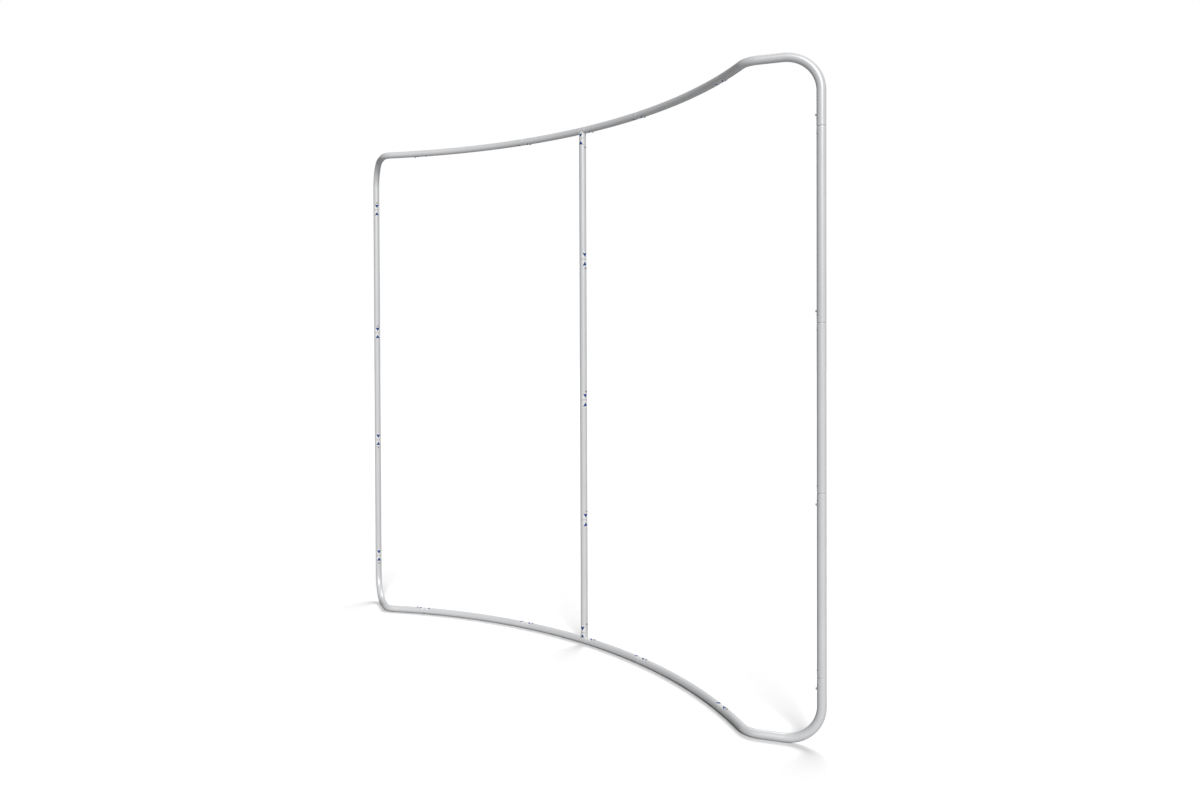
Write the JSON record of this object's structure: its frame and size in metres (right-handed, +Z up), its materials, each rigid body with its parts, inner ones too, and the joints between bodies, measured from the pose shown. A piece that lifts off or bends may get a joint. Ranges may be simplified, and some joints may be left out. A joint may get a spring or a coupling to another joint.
{
  "type": "display backwall frame",
  "caption": "Free-standing curved display backwall frame of round aluminium tube, with side posts, a centre post and plug joints locked by snap buttons.",
  "frame": {"origin": "on the floor, in the middle of the overall width and depth", "axes": "+Z up; -Y towards the visitor, on the hollow side of the curve; +X to the visitor's right"},
  "size_m": [2.484, 0.351, 2.286],
  "materials": {
    "tube": "satin anodised",
    "snap_button": "bright spring steel"
  },
  "bodies": {
    "frame": {"top_corner_left": "tube", "top_rail_1": "tube", "top_rail_2": "tube", "top_rail_3": "tube", "top_rail_4": "tube", "top_corner_right": "tube", "bottom_corner_left": "tube", "bottom_rail_1": "tube", "bottom_rail_2": "tube", "bottom_rail_3": "tube", "bottom_rail_4": "tube", "bottom_corner_right": "tube", "left_post_upper": "tube", "left_post_middle": "tube", "left_post_lower": "tube", "right_post_upper": "tube", "right_post_middle": "tube", "right_post_lower": "tube", "centre_stub_top": "tube", "centre_post_1": "tube", "centre_post_2": "tube", "centre_post_3": "tube", "centre_post_4": "tube", "centre_stub_bottom": "tube"},
    "button_top_1": {"snap_button_top_1": "snap_button"},
    "button_top_2": {"snap_button_top_2": "snap_button"},
    "button_top_3": {"snap_button_top_3": "snap_button"},
    "button_top_4": {"snap_button_top_4": "snap_button"},
    "button_top_5": {"snap_button_top_5": "snap_button"},
    "button_bottom_1": {"snap_button_bottom_1": "snap_button"},
    "button_bottom_2": {"snap_button_bottom_2": "snap_button"},
    "button_bottom_3": {"snap_button_bottom_3": "snap_button"},
    "button_bottom_4": {"snap_button_bottom_4": "snap_button"},
    "button_bottom_5": {"snap_button_bottom_5": "snap_button"},
    "button_left_1": {"snap_button_left_1": "snap_button"},
    "button_left_2": {"snap_button_left_2": "snap_button"},
    "button_left_3": {"snap_button_left_3": "snap_button"},
    "button_left_4": {"snap_button_left_4": "snap_button"},
    "button_right_1": {"snap_button_right_1": "snap_button"},
    "button_right_2": {"snap_button_right_2": "snap_button"},
    "button_right_3": {"snap_button_right_3": "snap_button"},
    "button_right_4": {"snap_button_right_4": "snap_button"},
    "button_centre_1": {"snap_button_centre_1": "snap_button"},
    "button_centre_2": {"snap_button_centre_2": "snap_button"},
    "button_centre_3": {"snap_button_centre_3": "snap_button"},
    "button_centre_4": {"snap_button_centre_4": "snap_button"},
    "button_centre_5": {"snap_button_centre_5": "snap_button"}
  },
  "joints": [
    {"name": "press_top_1", "type": "slide", "parent": "frame", "child": "button_top_1", "axis": [0, 0, 1], "range_m": [0, 0.0063], "stiffness_N_per_m": 3000},
    {"name": "press_top_2", "type": "slide", "parent": "frame", "child": "button_top_2", "axis": [0, 0, 1], "range_m": [0, 0.0063], "stiffness_N_per_m": 3000},
    {"name": "press_top_3", "type": "slide", "parent": "frame", "child": "button_top_3", "axis": [0, 0, 1], "range_m": [0, 0.0063], "stiffness_N_per_m": 3000},
    {"name": "press_top_4", "type": "slide", "parent": "frame", "child": "button_top_4", "axis": [0, 0, 1], "range_m": [0, 0.0063], "stiffness_N_per_m": 3000},
    {"name": "press_top_5", "type": "slide", "parent": "frame", "child": "button_top_5", "axis": [0, 0, 1], "range_m": [0, 0.0063], "stiffness_N_per_m": 3000},
    {"name": "press_bottom_1", "type": "slide", "parent": "frame", "child": "button_bottom_1", "axis": [0, 0, -1], "range_m": [0, 0.0063], "stiffness_N_per_m": 3000},
    {"name": "press_bottom_2", "type": "slide", "parent": "frame", "child": "button_bottom_2", "axis": [0, 0, -1], "range_m": [0, 0.0063], "stiffness_N_per_m": 3000},
    {"name": "press_bottom_3", "type": "slide", "parent": "frame", "child": "button_bottom_3", "axis": [0, 0, -1], "range_m": [0, 0.0063], "stiffness_N_per_m": 3000},
    {"name": "press_bottom_4", "type": "slide", "parent": "frame", "child": "button_bottom_4", "axis": [0, 0, -1], "range_m": [0, 0.0063], "stiffness_N_per_m": 3000},
    {"name": "press_bottom_5", "type": "slide", "parent": "frame", "child": "button_bottom_5", "axis": [0, 0, -1], "range_m": [0, 0.0063], "stiffness_N_per_m": 3000},
    {"name": "press_left_1", "type": "slide", "parent": "frame", "child": "button_left_1", "axis": [-0.8989, 0.4381, 0], "range_m": [0, 0.0063], "stiffness_N_per_m": 3000},
    {"name": "press_left_2", "type": "slide", "parent": "frame", "child": "button_left_2", "axis": [-0.8989, 0.4381, 0], "range_m": [0, 0.0063], "stiffness_N_per_m": 3000},
    {"name": "press_left_3", "type": "slide", "parent": "frame", "child": "button_left_3", "axis": [-0.8989, 0.4381, 0], "range_m": [0, 0.0063], "stiffness_N_per_m": 3000},
    {"name": "press_left_4", "type": "slide", "parent": "frame", "child": "button_left_4", "axis": [-0.8989, 0.4381, 0], "range_m": [0, 0.0063], "stiffness_N_per_m": 3000},
    {"name": "press_right_1", "type": "slide", "parent": "frame", "child": "button_right_1", "axis": [0.8989, 0.4381, 0], "range_m": [0, 0.0063], "stiffness_N_per_m": 3000},
    {"name": "press_right_2", "type": "slide", "parent": "frame", "child": "button_right_2", "axis": [0.8989, 0.4381, 0], "range_m": [0, 0.0063], "stiffness_N_per_m": 3000},
    {"name": "press_right_3", "type": "slide", "parent": "frame", "child": "button_right_3", "axis": [0.8989, 0.4381, 0], "range_m": [0, 0.0063], "stiffness_N_per_m": 3000},
    {"name": "press_right_4", "type": "slide", "parent": "frame", "child": "button_right_4", "axis": [0.8989, 0.4381, 0], "range_m": [0, 0.0063], "stiffness_N_per_m": 3000},
    {"name": "press_centre_1", "type": "slide", "parent": "frame", "child": "button_centre_1", "axis": [-1, 0, 0], "range_m": [0, 0.0063], "stiffness_N_per_m": 3000},
    {"name": "press_centre_2", "type": "slide", "parent": "frame", "child": "button_centre_2", "axis": [-1, 0, 0], "range_m": [0, 0.0063], "stiffness_N_per_m": 3000},
    {"name": "press_centre_3", "type": "slide", "parent": "frame", "child": "button_centre_3", "axis": [-1, 0, 0], "range_m": [0, 0.0063], "stiffness_N_per_m": 3000},
    {"name": "press_centre_4", "type": "slide", "parent": "frame", "child": "button_centre_4", "axis": [-1, 0, 0], "range_m": [0, 0.0063], "stiffness_N_per_m": 3000},
    {"name": "press_centre_5", "type": "slide", "parent": "frame", "child": "button_centre_5", "axis": [-1, 0, 0], "range_m": [0, 0.0063], "stiffness_N_per_m": 3000}
  ]
}
